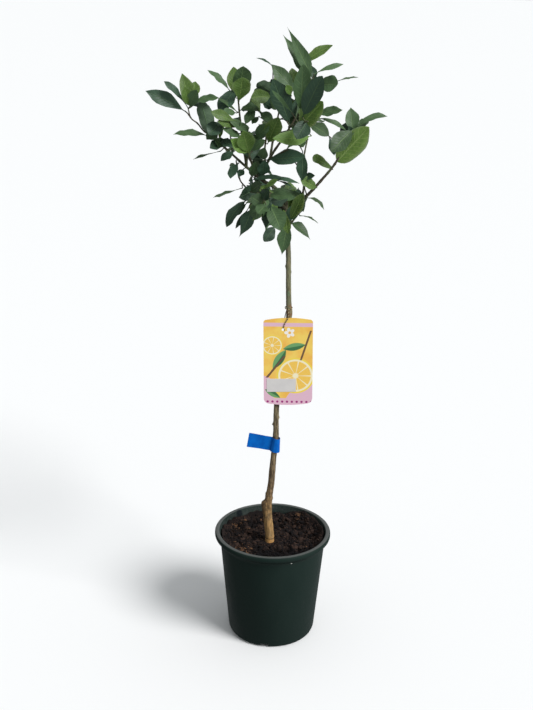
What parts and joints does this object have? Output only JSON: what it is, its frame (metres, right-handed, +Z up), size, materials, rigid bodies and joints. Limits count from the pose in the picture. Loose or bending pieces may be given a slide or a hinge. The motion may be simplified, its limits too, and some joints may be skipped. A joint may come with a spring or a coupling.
{
  "type": "potted lemon tree",
  "caption": "Lemon tree grown as a standard: a bare leaning stem with an open round crown of broad leaves, in a tapered plastic nursery pot of compost, with a hanging card.",
  "frame": {"origin": "middle of the pot's flat underside", "axes": "+Z up along the pot's axis, -Y towards the viewer of the picture, +X to the viewer's right"},
  "size_m": [0.366, 0.296, 1.025],
  "materials": {
    "pot_plastic": "satin",
    "compost": "matte",
    "bark": "matte",
    "green_bark": "satin",
    "leaf": "satin",
    "card": "satin",
    "sticker": "satin",
    "string": "matte",
    "wrap_film": "satin"
  },
  "bodies": {
    "root": {"pot": "pot_plastic", "soil": "compost", "trunk": "bark", "bough_right_arm": "green_bark", "bough_left_arm": "green_bark", "bough_leader": "green_bark", "bough_low_left": "green_bark", "bough_low_right": "green_bark", "bough_low_front": "green_bark", "bough_low_back": "green_bark", "bough_front": "green_bark", "bough_back": "green_bark", "bough_back_left": "green_bark", "bough_inner": "green_bark", "bough_rosette": "green_bark", "bough_left_tuft": "green_bark", "bough_left_crest": "green_bark", "bough_right_mid": "green_bark", "bough_shoulder": "green_bark", "bough_centre": "green_bark", "bough_back_top": "green_bark", "bough_front_top": "green_bark", "foliage_top": "leaf", "foliage_left_tip": "leaf", "foliage_left_crest": "leaf", "foliage_left_flank": "leaf", "foliage_left_tuft": "leaf", "foliage_rosette": "leaf", "foliage_inner": "leaf", "foliage_centre": "leaf", "foliage_right_mid": "leaf", "foliage_shoulder": "leaf", "foliage_right_arm": "leaf", "foliage_low_left": "leaf", "foliage_low_front": "leaf", "foliage_low_right": "leaf", "foliage_low_back": "leaf", "foliage_front": "leaf", "foliage_back_right": "leaf", "foliage_back_left": "leaf", "foliage_back_top": "leaf", "foliage_front_top": "leaf", "card": "card", "card_sticker": "sticker", "card_tie": "string", "wrap_label": "wrap_film"}
  },
  "joints": []
}
